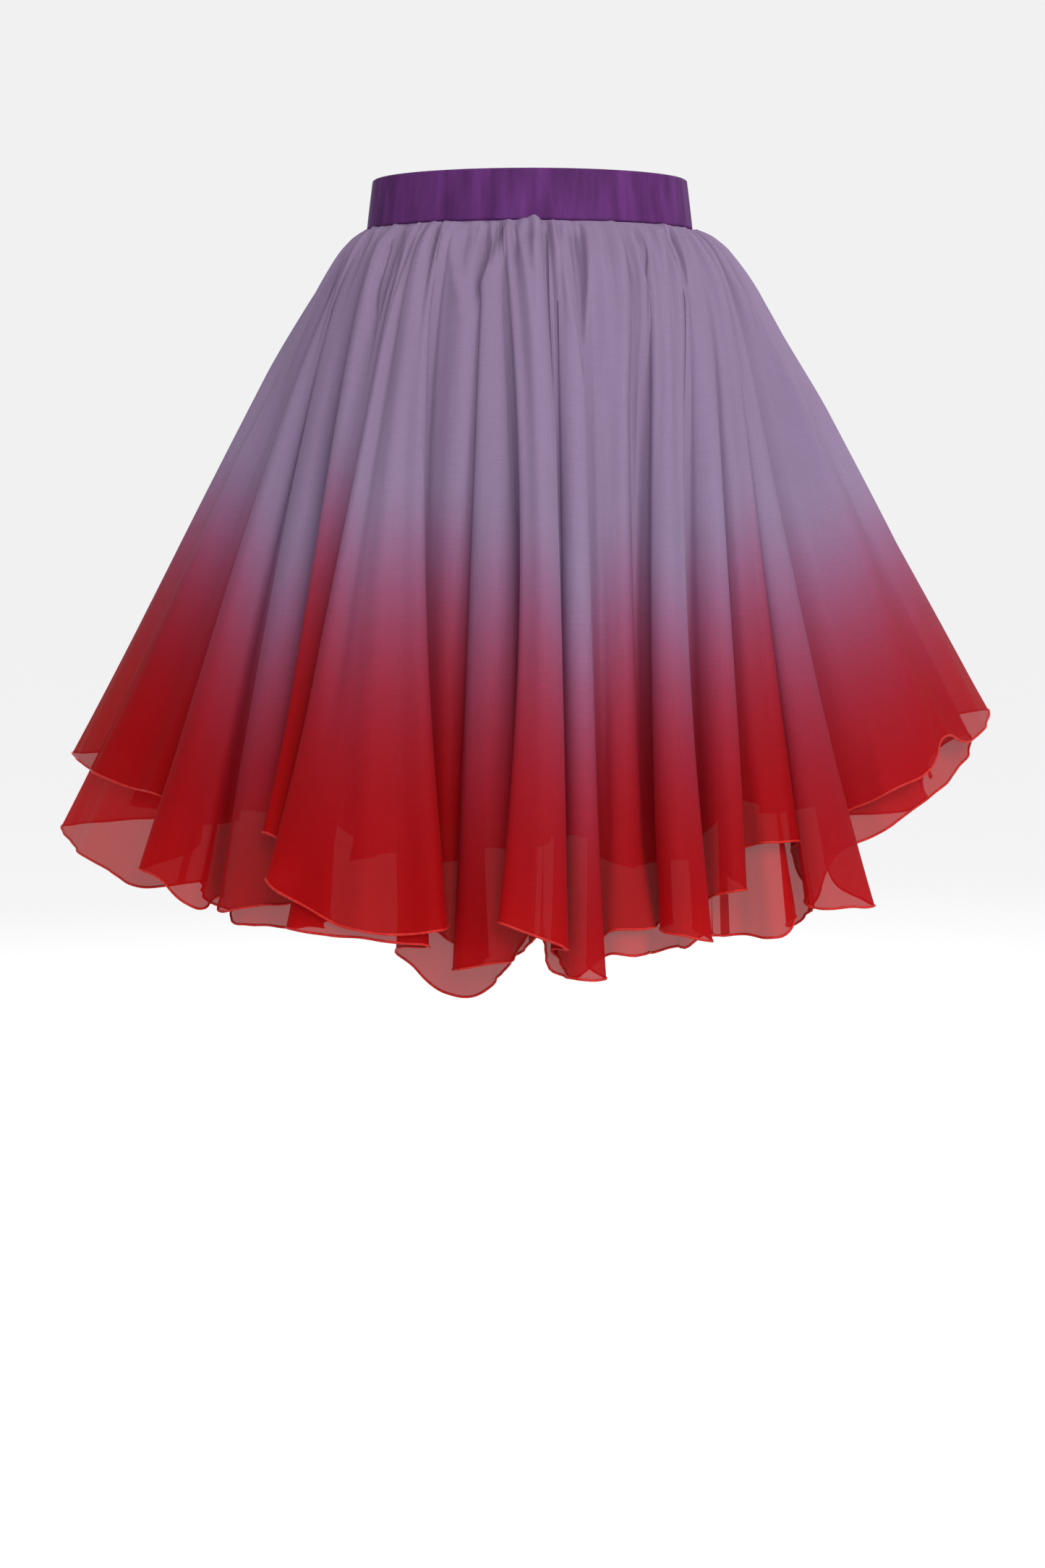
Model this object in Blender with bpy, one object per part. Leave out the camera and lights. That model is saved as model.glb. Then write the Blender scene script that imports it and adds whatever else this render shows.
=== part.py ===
"""Organza skirt: a satin band and two gathered layers of flared organza.

Metres, +Z up, the front faces -Y. The origin is the middle of the waist ring, at mid height of the band.
Both layers hang in the same folds. A fold is a face that shows, between two edges, and a tuck behind
its right edge, and the tables below have one row for each fold. Every fold line runs from its place
on the waist down to its place at the hem, and each horizontal ring of cloth is a smooth curve through
all the fold lines.
"""

import math
from collections import namedtuple

import bmesh
import bpy
import numpy as np

# Band and waist.
BAND_HEIGHT = 0.038
BAND_WALL = 0.0034
BAND_LEAN = 0.0048
BAND_SET_IN = 0.0012
BAND_EDGE_ROUND = 0.0009
BAND_SEGMENTS = 72
WAIST_HALF_WIDTH = 0.125
WAIST_HALF_DEPTH = 0.092
SEAM_Z = -BAND_HEIGHT / 2

# Cloth.
CLOTH_WALL = 0.0012
WALL_MITRE = 0.5
SEAM_GAP = 0.0003
LAYER_GAP_AT_WAIST = 0.0022
# The lower layer keeps this gap in the tucks. Its gaps grow down the length, and are worked out at
# these levels.
TUCK_GAP = 0.003
GAP_GROWTH = 0.6
GAP_LEVELS = np.linspace(0.0, 1.2, 25)
SHARPEST_MITRE = 0.25
# It runs straight past behind a narrow fold, from STRAIGHT_FROM down. Where the fold has a gap, that ends
# by degrees from half of STRAIGHT_TO to all of it.
NARROW_FOLD = 0.06
STRAIGHT_FROM = 0.04
STRAIGHT_TO = 1.1
# The inner end of a tuck is this wide, which leaves room for both layers.
TUCK_ROUND = 0.008

# The cloth bells out just below the band, and more on the wearer's left, which is +X.
BELL_OUT = 0.024
BELL_LEAN = 0.005
BELL_REACH = 0.08

# Gathers under the band, as waves all round the upper layer.
GATHERS = 72
GATHER_HEIGHT = 0.0014
GATHER_AT_BAND = 0.35
GATHER_PEAK = 0.035
GATHER_FADE = 0.13

# Where each row of the mesh lies, as a share of the length of the upper layer.
GATHERED_ROWS = (0.0, 0.035, 0.09)
FIRST_PLAIN_ROW = 0.17
OUTER_ROWS = (0.28, 0.42, 0.57, 0.72, 0.87, 1.0)
UNDER_ROWS = (0.0, 0.12, 0.28, 0.46, 0.64, 0.82, 1.0)
COLUMNS_PER_GATHER = 4

# A face is a little bowed, and gets a fold line for each stretch of this width.
FACE_BOW = 0.10
FACE_LINE_STEP = 0.055
FAR_APART = 0.022
# A panel looks this many fold lines past its seam for the next place.
BEYOND_SEAM = 8

# Angles are degrees round the waist from the middle of the front, + towards +X.
# under_l and under_r say how long the lower layer is there, as a multiple of the upper layer.
# The other columns are in millimetres. x, y and drop are where the face's left and right edges end at the
# hem, with drop measured below the band, and tuck_x and tuck_y are the innermost point of the cloth behind
# the right edge. gap is how far inside the face the lower layer hangs at the hem of the upper one. Where it
# is 0, the lower layer runs straight past behind the fold, from one tuck to the next. sway_l and sway_r are
# how far the edges bend towards +X at half their length.
MM = 0.001
Fold = namedtuple(
    "Fold",
    "name angle_l angle_r under_l under_r x_l y_l drop_l x_r y_r drop_r tuck_x tuck_y gap sway_l sway_r",
)
FRONT_FOLDS = [
    Fold(*row[:5], *(length * MM for length in row[5:]))
    for row in (
        ("left_gore", -92, -79, 1.14, 1.16, -356, 4, 404, -272, -120, 424, -250, -112, 13, 0, 0),
        ("left_panel", -74, -69, 1.03, 1.03, -281, -172, 470, -232, -192, 474, -222, -160, 0, -3, -6),
        ("left_ridge", -65, -59, 1.02, 1.04, -217, -226, 491, -166, -232, 482, -146, -234, 5, -6, 0),
        ("left_strip", -56, -44, 1.12, 1.12, -183, -252, 431, -160, -256, 440, -146, -260, 0, 0, 4),
        ("big_panel", -40, -30, 1.07, 1.03, -178, -280, 458, -58, -296, 488, -78, -252, 4, 4, -11),
        ("small_ridge", -25, -18, 1.08, 1.07, -63, -260, 500, -48, -262, 510, -32, -256, 0, -8, -4),
        ("low_fold", -12, -10, 1.01, 1.00, -53, -286, 521, -10, -290, 512, -2, -274, 0, 0, 8),
        ("middle_panel", -7, 5, 1.03, 1.03, -21, -312, 483, 24, -312, 501, 19, -282, 0, 12, 3),
        ("tube", 9, 13, 1.01, 1.01, 26, -297, 523, 47, -300, 525, 44, -266, 0, 0, 0),
        ("set_back_panel", 18, 34, 1.03, 1.05, 53, -270, 498, 87, -260, 495, 96, -241, 4, 0, -6),
        ("right_tube", 40, 49, 1.03, 1.03, 90, -275, 496, 124, -276, 503, 117, -234, 0, -6, -10),
        ("right_strip", 55, 60, 1.06, 1.08, 129, -246, 476, 152, -240, 472, 142, -207, 0, -4, 0),
        ("short_panel", 63.5, 67, 1.14, 1.15, 155, -213, 446, 189, -204, 444, 192, -178, 4, 0, 0),
        ("right_fold", 72, 76.5, 1.02, 1.02, 203, -217, 490, 244, -196, 492, 220, -142, 0, -4, -6),
        ("right_gore", 80, 93, 1.07, 1.05, 258, -141, 420, 359, -10, 368, 318, 18, 18, 0, 0),
    )
]

# The folds of the back follow one rule: evenly spread, but uneven in width, place, reach, drop and depth by
# these shares of a fold, or by these lengths.
BACK_FOLDS = 10
BACK_FROM, BACK_TO = 98.0, 262.0
BACK_REACH_SIDE, BACK_REACH_MIDDLE = 0.325, 0.292
BACK_DROP_SIDE, BACK_DROP_MIDDLE = 0.420, 0.500
BACK_FACE_SHARE = 0.74
BACK_TUCK_DEPTH = 0.036
BACK_GAP = 0.006
BACK_UNDER = 1.06
UNEVEN_WIDTH, UNEVEN_PLACE, UNEVEN_DEPTH = 0.04, 0.05, 0.2
UNEVEN_LENGTH, UNEVEN_EDGE, UNEVEN_UNDER = 0.008, 0.006, 0.02

# Each layer is cut as four gores. A seam lies in the tuck behind the fold that it is named by, and these are
# where each gore starts, going round from the middle of the front towards +X, the wearer's left.
GORES = ("left_front", "left_back", "right_back", "right_front")
OUTER_SEAM_FOLDS = ("middle_panel", "right_gore", "back_04", "back_09")
UNDER_SEAM_FOLDS = ("low_fold", "right_strip", "back_04", "left_gore")

PURPLE = (0.045, 0.010, 0.060)
LILAC = (0.35, 0.24, 0.42)
RED = (0.45, 0.012, 0.018)


def back_folds():
    """One row for each fold of the back, from the wearer's left side round to the right."""
    rows = []
    step = (BACK_TO - BACK_FROM) / BACK_FOLDS
    for i in range(BACK_FOLDS):
        one, other = math.sin(2.4 * i + 0.6), math.sin(4.1 * i + 1.9)
        width = step * (BACK_FACE_SHARE + UNEVEN_WIDTH * other)
        start = BACK_FROM + step * (i + 0.5 + UNEVEN_PLACE * one) - width / 2
        end = start + width
        tuck = BACK_FROM + step * (i + 1 + UNEVEN_PLACE * other)
        sideness = abs(math.sin(math.radians((start + end) / 2)))
        reach = BACK_REACH_MIDDLE + (BACK_REACH_SIDE - BACK_REACH_MIDDLE) * sideness + UNEVEN_LENGTH * other
        drop = BACK_DROP_MIDDLE + (BACK_DROP_SIDE - BACK_DROP_MIDDLE) * sideness**2 + UNEVEN_LENGTH * one
        depth = BACK_TUCK_DEPTH * (1 + UNEVEN_DEPTH * one)
        ends = []
        for angle, out in ((start, reach), (end, reach + UNEVEN_EDGE * one), (tuck, reach - depth)):
            ends.append((out * math.sin(math.radians(angle)), -out * math.cos(math.radians(angle))))
        left, right, inner = ends
        under = (BACK_UNDER + UNEVEN_UNDER * other, BACK_UNDER + UNEVEN_UNDER * one)
        right_drop = drop + UNEVEN_EDGE * other
        name = f"back_{i:02d}"
        rows.append(Fold(name, start, end, *under, *left, drop, *right, right_drop, *inner, BACK_GAP, 0, 0))
    return rows


def in_plan(degrees, hem, sway, t):
    """Where a line of the upper layer is in plan, from its waist angle, its end at the hem and t down it."""
    angle = np.radians(degrees)
    around = np.stack([np.sin(angle), -np.cos(angle)], axis=-1)
    waist = around * (WAIST_HALF_WIDTH, WAIST_HALF_DEPTH)
    bell = (BELL_OUT + BELL_LEAN * around[:, 0]) * (1 - np.exp(-t / BELL_REACH)) * np.clip(1 - t, -0.2, 1)
    plan = waist + (hem - waist) * t[:, None] + around * bell[:, None]
    plan[:, 0] += sway * 4 * t * np.clip(1 - t, 0, 1)
    return plan


def inset(ring, gaps):
    """How far each point of a closed outline in plan moves so that both of its sides move in by the gap."""
    ahead = np.roll(ring, -1, axis=0) - ring
    ahead /= np.linalg.norm(ahead, axis=1, keepdims=True)
    inward = np.column_stack([-ahead[:, 1], ahead[:, 0]])
    before = np.roll(inward, 1, axis=0)
    spread = np.maximum(1 + (inward * before).sum(axis=1), SHARPEST_MITRE)
    return (inward + before) / spread[:, None] * gaps[:, None]


def fold_lines(folds):
    """The lines that the rings run through, the first line in each fold's tuck, and the straight runs.

    The columns are waist angle, hem x, y and drop, sway, the lower layer's length, its gap at the hem, and
    the way into the tuck in x and y.
    """
    lines, tucks, straight = [], {}, []
    for fold, following in zip(folds, folds[1:] + folds[:1]):
        left, right = np.array([fold.x_l, fold.y_l]), np.array([fold.x_r, fold.y_r])
        across = right - left
        width = np.hypot(*across)
        outward = np.array([across[1], -across[0]]) / width
        inner_points = max(1, round(width / FACE_LINE_STEP))
        first = len(lines)
        for i in range(inner_points + 2):
            share = i / (inner_points + 1)
            spot = left + across * share + outward * FACE_BOW * width * 4 * share * (1 - share)
            angle = fold.angle_l + (fold.angle_r - fold.angle_l) * share
            drop = fold.drop_l + (fold.drop_r - fold.drop_l) * share
            under = fold.under_l + (fold.under_r - fold.under_l) * share
            sway = fold.sway_l + (fold.sway_r - fold.sway_l) * share
            lines.append((angle, *spot, drop, sway, under, fold.gap, 0, 0))
        if width < NARROW_FOLD:
            straight.append((first, len(lines), math.inf if fold.gap == 0 else STRAIGHT_TO))
        tucks[fold.name] = len(lines)
        next_angle = following.angle_l + (360 if following.angle_l < fold.angle_r else 0)
        next_left = np.array([following.x_l, following.y_l])
        inward = (fold.tuck_x, fold.tuck_y) - (right + next_left) / 2
        inward /= np.hypot(*inward)
        beside = np.array([-inward[1], inward[0]])
        beside *= math.copysign(TUCK_ROUND / 2, beside @ (right - next_left))
        for share, side in ((1 / 3, 1), (2 / 3, -1)):
            angle = fold.angle_r + (next_angle - fold.angle_r) * share
            drop = fold.drop_r + (following.drop_l - fold.drop_r) * share
            under = fold.under_r + (following.under_l - fold.under_r) * share
            gap = max(TUCK_GAP, min(fold.gap, following.gap))
            spot = (fold.tuck_x + beside[0] * side, fold.tuck_y + beside[1] * side)
            sway = fold.sway_r + (following.sway_l - fold.sway_r) * share
            lines.append((angle, *spot, drop, sway, under, gap, *inward))
    return np.array(lines), tucks, straight


class Cloth:
    """The surface that both layers follow, as a function of the place round the ring and down the length."""

    def __init__(self):
        self.lines, self.tucks, self.straight = fold_lines(FRONT_FOLDS + back_folds())
        hem = self.lines[:, 1:3]
        # The square root of the chord keeps the curve from looping where lines lie close together.
        self.knots = np.concatenate([[0.0], np.cumsum(np.hypot(*(np.roll(hem, -1, axis=0) - hem).T) ** 0.5)])
        self.shifts = [self.shift_at(t) for t in GAP_LEVELS]

    def shift_at(self, t):
        """How far the lower layer lies inside the upper one at each fold line."""
        ring = in_plan(self.lines[:, 0], self.lines[:, 1:3], self.lines[:, 4], np.full(len(self.lines), t))
        clear = LAYER_GAP_AT_WAIST + GATHER_HEIGHT * min(t / GATHER_PEAK, 1)
        gaps = clear + self.lines[:, 6] * t**GAP_GROWTH
        shift = inset(ring, gaps)
        for first, last, to in self.straight:
            weight = min(t / STRAIGHT_FROM, 1) * min(max(2 - 2 * t / to, 0), 1)
            ends = [first - 1, last]
            past_tuck = self.lines[ends, 7:9] * gaps[ends, None]
            shift[ends] += (past_tuck - shift[ends]) * weight
        for first, last, to in self.straight:
            weight = min(t / STRAIGHT_FROM, 1) * min(max(2 - 2 * t / to, 0), 1)
            start, end = (ring[k] + shift[k] for k in (first - 1, last))
            share = np.cumsum(np.diff(self.knots).take(range(first - 1, last), mode="wrap"))
            passing = start + (end - start) * share[:-1, None] / share[-1] - ring[first:last]
            shift[first:last] += (passing - shift[first:last]) * weight
        return shift

    def shift(self, u, t):
        level = np.clip(np.searchsorted(GAP_LEVELS, t, side="right") - 1, 0, len(GAP_LEVELS) - 2)
        share = (t - GAP_LEVELS[level]) / (GAP_LEVELS[1] - GAP_LEVELS[0])
        total = np.zeros((len(u), 2))
        for i in np.unique(level):
            here = level == i
            low, high = self.along(self.shifts[i], u[here]), self.along(self.shifts[i + 1], u[here])
            total[here] = low + (high - low) * share[here, None]
        return total

    def along(self, values, u):
        """Reads one column of the lines at places u, as a smooth closed curve."""
        count = len(values)
        period = self.knots[-1]
        u = np.asarray(u) % period
        k = np.clip(np.searchsorted(self.knots, u, side="right") - 1, 0, count - 1)
        steps = np.diff(self.knots)
        slopes = (np.roll(values, -1, axis=0) - values) / (
            steps if values.ndim == 1 else steps[:, None]
        )
        before, ahead = np.roll(steps, 1), steps
        if values.ndim > 1:
            before, ahead = before[:, None], ahead[:, None]
        tangents = (np.roll(slopes, 1, axis=0) * ahead + slopes * before) / (before + ahead)
        share = (u - self.knots[k]) / steps[k]
        step = steps[k]
        if values.ndim > 1:
            share, step = share[:, None], step[:, None]
        after = (k + 1) % count
        s2, s3 = share**2, share**3
        return (
            (2 * s3 - 3 * s2 + 1) * values[k]
            + (s3 - 2 * s2 + share) * step * tangents[k]
            + (3 * s2 - 2 * s3) * values[after]
            + (s3 - s2) * step * tangents[after]
        )

    def waist_angle(self, u):
        """Degrees round the waist at places u."""
        turned = np.append(self.lines[:, 0], self.lines[0, 0] + 360)
        return np.interp(np.asarray(u) % self.knots[-1], self.knots, turned)

    def place_of_angle(self, angle):
        turned = np.append(self.lines[:, 0], self.lines[0, 0] + 360)
        turns = np.floor((np.asarray(angle) - turned[0]) / 360)
        return np.interp(angle - 360 * turns, turned, self.knots) + turns * self.knots[-1]

    def plain_point(self, u, t, inside=0.0):
        """The middle of the cloth at u, and t of the upper layer's length below the band.

        inside is 0 for the upper layer and 1 for the lower one.
        """
        hem, sway = self.along(self.lines[:, 1:3], u), self.along(self.lines[:, 4], u)
        flat = in_plan(self.waist_angle(u), hem, sway, t)
        if inside:
            flat += self.shift(u, t) * inside
        drop = self.along(self.lines[:, 3], u)
        return np.column_stack([flat, SEAM_Z - SEAM_GAP - drop * t])

    def down(self, u, t, inside=0.0):
        """The way down the plain surface, which is straight down along the seam with the band."""
        small = 1e-3
        low = np.maximum(t - small, 0)
        way = self.plain_point(u, low + 2 * small, inside) - self.plain_point(u, low, inside)
        way[t == 0, :2] = 0
        return way / np.linalg.norm(way, axis=1, keepdims=True)

    def gather(self, u, t):
        """How far a gather stands out from the plain surface."""
        wave = np.sin(np.radians(self.waist_angle(u)) * GATHERS)
        rise = GATHER_AT_BAND + (1 - GATHER_AT_BAND) * np.clip(t / GATHER_PEAK, 0, 1)
        return GATHER_HEIGHT * wave * rise * np.exp(-((t / GATHER_FADE) ** 2))

    def outer(self, u, t):
        """Middle of the upper layer, and the way down it."""
        t = np.full(len(u), float(t))
        small = 1e-3
        along_u = self.plain_point(u + small, t) - self.plain_point(u - small, t)
        down = self.down(u, t)
        out = np.cross(down, along_u)
        out /= np.linalg.norm(out, axis=1, keepdims=True)
        return self.plain_point(u, t) + out * self.gather(u, t)[:, None], down

    def under(self, u, share):
        """Middle of the lower layer, and the way down it. It hangs inside the upper one and ends lower."""
        t = share * self.along(self.lines[:, 5], u)
        return self.plain_point(u, t, 1.0), self.down(u, t, 1.0)

    def columns(self, first, last, lower=False, halfway=True):
        """Places from one fold line to another, with one more halfway where the lines are far apart.

        The lower layer needs none of the lines that it runs straight past. One place beyond each end is
        there too, for the direction of the wall at the seam.
        """
        count = len(self.lines)
        passed = {k % count for start, end, to in self.straight if to == math.inf for k in range(start, end)}
        around = range(first - BEYOND_SEAM, last + BEYOND_SEAM + 1)
        kept = [k for k in around if not (lower and k % count in passed)]
        knots = [self.knots[k % count] + self.knots[-1] * (k // count) for k in kept]
        between = [(a + b) / 2 for a, b in zip(knots, knots[1:]) if halfway and b - a > FAR_APART**0.5]
        places = sorted(knots + between)
        start, end = (places.index(knots[kept.index(k)]) for k in (first, last))
        return np.array(places[start - 1 : end + 2])


def trimmed(points):
    """A row of cloth, pulled back by half a seam's gap at both ends."""
    points = points.copy()
    for end, inward in ((0, 1), (-1, -2)):
        along = points[inward] - points[end]
        points[end] += along / np.linalg.norm(along) * SEAM_GAP / 2
    return points


def zipped(places_a, places_b, first_a, first_b):
    """Triangles between two rows of points that need not have the same number of columns."""
    faces = []
    i = j = 0
    while i < len(places_a) - 1 or j < len(places_b) - 1:
        next_a = places_a[i + 1] if i < len(places_a) - 1 else math.inf
        next_b = places_b[j + 1] if j < len(places_b) - 1 else math.inf
        if next_a <= next_b:
            faces.append((first_a + i, first_b + j, first_a + i + 1))
            i += 1
        else:
            faces.append((first_a + i, first_b + j, first_b + j + 1))
            j += 1
    return faces


def wall_reach(points, down):
    """Where the outer face lies from the middle of a wall two units thick, for all but a row's end points.

    It reaches further at a sharp fold, so that the wall keeps its thickness on both sides of it.
    """
    ahead = np.diff(points, axis=0)
    after = np.cross(down[1:-1], ahead[1:])
    before = np.cross(down[1:-1], ahead[:-1])
    after /= np.linalg.norm(after, axis=1, keepdims=True)
    before /= np.linalg.norm(before, axis=1, keepdims=True)
    spread = np.maximum(1 + (after * before).sum(axis=1), WALL_MITRE)
    return (after + before) / spread[:, None]


def wall_from_rows(name, rows, material):
    """One closed wall of cloth. A row is its places, its middle points and the way down from each."""
    mesh = bmesh.new()
    sides = []
    for side in (0.5, -0.5):
        for _, points, down in rows:
            reach = wall_reach(points, down) * CLOTH_WALL * side
            sides.append([mesh.verts.new(p) for p in trimmed(points[1:-1]) + reach])
    count = len(rows)
    for side in (0, 1):
        for r in range(count - 1):
            upper, lower = sides[side * count + r], sides[side * count + r + 1]
            both = upper + lower
            for corners in zipped(rows[r][0][1:-1], rows[r + 1][0][1:-1], 0, len(upper)):
                order = corners if side == 0 else corners[::-1]
                mesh.faces.new([both[c] for c in order])
    for r in (0, count - 1):
        out_row, in_row = sides[r], sides[count + r]
        for a in range(len(out_row) - 1):
            corners = [out_row[a], out_row[a + 1], in_row[a + 1], in_row[a]]
            mesh.faces.new(corners if r == 0 else corners[::-1])
    for end in (0, -1):
        for r in range(count - 1):
            corners = [sides[r][end], sides[count + r][end], sides[count + r + 1][end], sides[r + 1][end]]
            mesh.faces.new(corners if end == -1 else corners[::-1])
    bmesh.ops.recalc_face_normals(mesh, faces=mesh.faces)
    return finished(name, mesh, material)


def finished(name, mesh, material):
    data = bpy.data.meshes.new(name)
    mesh.to_mesh(data)
    mesh.free()
    data.shade_smooth()
    data.set_sharp_from_angle(angle=math.radians(40))
    data.materials.append(material)
    piece = bpy.data.objects.new(name, data)
    bpy.context.scene.collection.objects.link(piece)
    return piece


def cloth_material(name, color, roughness):
    material = bpy.data.materials.new(name)
    material.use_nodes = True
    shader = material.node_tree.nodes["Principled BSDF"]
    shader.inputs["Base Color"].default_value = (*color, 1.0)
    shader.inputs["Roughness"].default_value = roughness
    shader.inputs["Metallic"].default_value = 0.0
    return material


def outer_panel(cloth, name, first, last, material):
    """A panel of the upper layer, with close columns in the gathers and fold lines below."""
    places = cloth.columns(first, last)
    count = len(cloth.lines)
    start, end = (cloth.lines[k % count, 0] + 360 * (k // count) for k in (first, last))
    waves = round((end - start) / 360 * GATHERS)
    step = (end - start) / (waves * COLUMNS_PER_GATHER)
    close_places = cloth.place_of_angle(np.arange(-1, waves * COLUMNS_PER_GATHER + 2) * step + start)
    close_places[1], close_places[-2] = places[1], places[-2]
    rows = [(close_places, *cloth.outer(close_places, t)) for t in GATHERED_ROWS]
    at_lines = cloth.columns(first, last, halfway=False)
    rows.append((at_lines, *cloth.outer(at_lines, FIRST_PLAIN_ROW)))
    rows += [(places, *cloth.outer(places, t)) for t in OUTER_ROWS]
    return wall_from_rows(name, rows, material)


def under_panel(cloth, name, first, last, material):
    places = cloth.columns(first, last, lower=True)
    rows = [(places, *cloth.under(places, share)) for share in UNDER_ROWS]
    return wall_from_rows(name, rows, material)


def waistband(material):
    """A ring of folded satin with rounded edges, a little wider at its lower edge."""
    half = BAND_WALL / 2
    top, round_off = BAND_HEIGHT / 2, BAND_EDGE_ROUND
    profile = [
        (-half, -top + round_off),
        (-half + round_off, -top),
        (half - round_off, -top),
        (half, -top + round_off),
        (half, top - round_off),
        (half - round_off, top),
        (-half + round_off, top),
        (-half, top - round_off),
    ]
    mesh = bmesh.new()
    rings = []
    for i in range(BAND_SEGMENTS):
        angle = 2 * math.pi * i / BAND_SEGMENTS
        ring = []
        for out, up in profile:
            grow = out - BAND_SET_IN - BAND_LEAN * (up + top) / BAND_HEIGHT
            x = (WAIST_HALF_WIDTH + grow) * math.sin(angle)
            y = -(WAIST_HALF_DEPTH + grow) * math.cos(angle)
            ring.append(mesh.verts.new((x, y, up)))
        rings.append(ring)
    for i, ring in enumerate(rings):
        following = rings[(i + 1) % BAND_SEGMENTS]
        for j in range(len(profile)):
            k = (j + 1) % len(profile)
            mesh.faces.new((ring[j], following[j], following[k], ring[k]))
    bmesh.ops.recalc_face_normals(mesh, faces=mesh.faces)
    return finished("waistband", mesh, material)


def main():
    for old in list(bpy.data.objects):
        bpy.data.objects.remove(old)
    cloth = Cloth()
    count = len(cloth.lines)
    satin = cloth_material("purple_satin", PURPLE, 0.35)
    upper = cloth_material("lilac_organza", LILAC, 0.55)
    lower = cloth_material("red_organza", RED, 0.55)
    waistband(satin)
    for layer, seam_folds, panel, material in (
        ("outer", OUTER_SEAM_FOLDS, outer_panel, upper),
        ("under", UNDER_SEAM_FOLDS, under_panel, lower),
    ):
        starts = [cloth.tucks[name] for name in seam_folds]
        for gore, first, last in zip(GORES, starts, starts[1:] + starts[:1]):
            panel(cloth, f"{layer}_{gore}", first, last + (count if last < first else 0), material)


main()
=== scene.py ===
"""Looks of the organza skirt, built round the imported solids.

Metres, +Z up, the front faces -Y, and the origin is the middle of the waist ring at mid height of the band.
The fold table and the functions that read it repeat the solids' own, because this script reads only the
frame, apart from one tuck that is shallower here. The fine sheets follow the same folds, with gathers,
creases, dye and rolled hems added.
"""

import math
from collections import namedtuple

import bpy
import numpy as np
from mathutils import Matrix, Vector


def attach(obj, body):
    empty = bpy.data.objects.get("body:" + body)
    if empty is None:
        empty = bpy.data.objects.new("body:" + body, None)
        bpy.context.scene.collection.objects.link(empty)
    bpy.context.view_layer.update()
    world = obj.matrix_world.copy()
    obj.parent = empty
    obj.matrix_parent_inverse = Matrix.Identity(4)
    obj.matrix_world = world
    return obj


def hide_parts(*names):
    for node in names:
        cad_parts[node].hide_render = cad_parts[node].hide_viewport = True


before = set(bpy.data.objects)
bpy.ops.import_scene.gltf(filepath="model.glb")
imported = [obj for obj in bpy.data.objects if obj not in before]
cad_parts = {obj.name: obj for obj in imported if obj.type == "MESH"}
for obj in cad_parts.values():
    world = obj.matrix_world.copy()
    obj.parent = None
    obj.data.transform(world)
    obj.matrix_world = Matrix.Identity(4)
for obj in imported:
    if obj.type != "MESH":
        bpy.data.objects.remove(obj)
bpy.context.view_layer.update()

# Band and waist.
BAND_HEIGHT = 0.038
BAND_WALL = 0.0034
BAND_LEAN = 0.0048
BAND_SET_IN = 0.0012
BAND_EDGE_ROUND = 0.0009
WAIST_HALF_WIDTH = 0.125
WAIST_HALF_DEPTH = 0.092
SEAM_Z = -BAND_HEIGHT / 2
# The satin's mesh: columns round the ring, and steps up its outside, down its inside and over each edge.
BAND_COLUMNS = 720
BAND_OUTSIDE_STEPS = 26
BAND_INSIDE_STEPS = 8
BAND_EDGE_STEPS = 6
# Its puckers. Bunched waves are given as how many go round, their phase, how strongly they bunch, how many
# bunches go round and the bunches' phase.
PUCKER_HEIGHT = 0.00016
PUCKERS = ((53, 0.0, 1.4, 4, 0.0), (31, 0.0, 1.3, 3, 2.0))

# Cloth.
SEAM_GAP = 0.0003
LAYER_GAP_AT_WAIST = 0.0022
# The lower layer keeps this gap in the tucks. Its gaps grow down the length, and are worked out at
# these levels.
TUCK_GAP = 0.003
GAP_GROWTH = 0.6
GAP_LEVELS = np.linspace(0.0, 1.2, 25)
SHARPEST_MITRE = 0.25
# It runs straight past behind a narrow fold, from STRAIGHT_FROM down. Where the fold has a gap, that ends
# by degrees from half of STRAIGHT_TO to all of it.
NARROW_FOLD = 0.06
STRAIGHT_FROM = 0.04
STRAIGHT_TO = 1.1
# The inner end of a tuck is this wide, which leaves room for both layers.
TUCK_ROUND = 0.008

# The cloth bells out just below the band, and more on the wearer's left, which is +X. Below the hem of the
# upper layer it turns in, by up to a share of that.
BELL_OUT = 0.024
BELL_LEAN = 0.005
BELL_REACH = 0.08
BELL_TURN_IN = 0.2

# The gap between the layers grows by this much over this share of the length, for the gathers.
GATHER_HEIGHT = 0.0014
GATHER_PEAK = 0.035

# A face is a little bowed, and gets a fold line for each stretch of this width.
FACE_BOW = 0.10
FACE_LINE_STEP = 0.055

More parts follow.
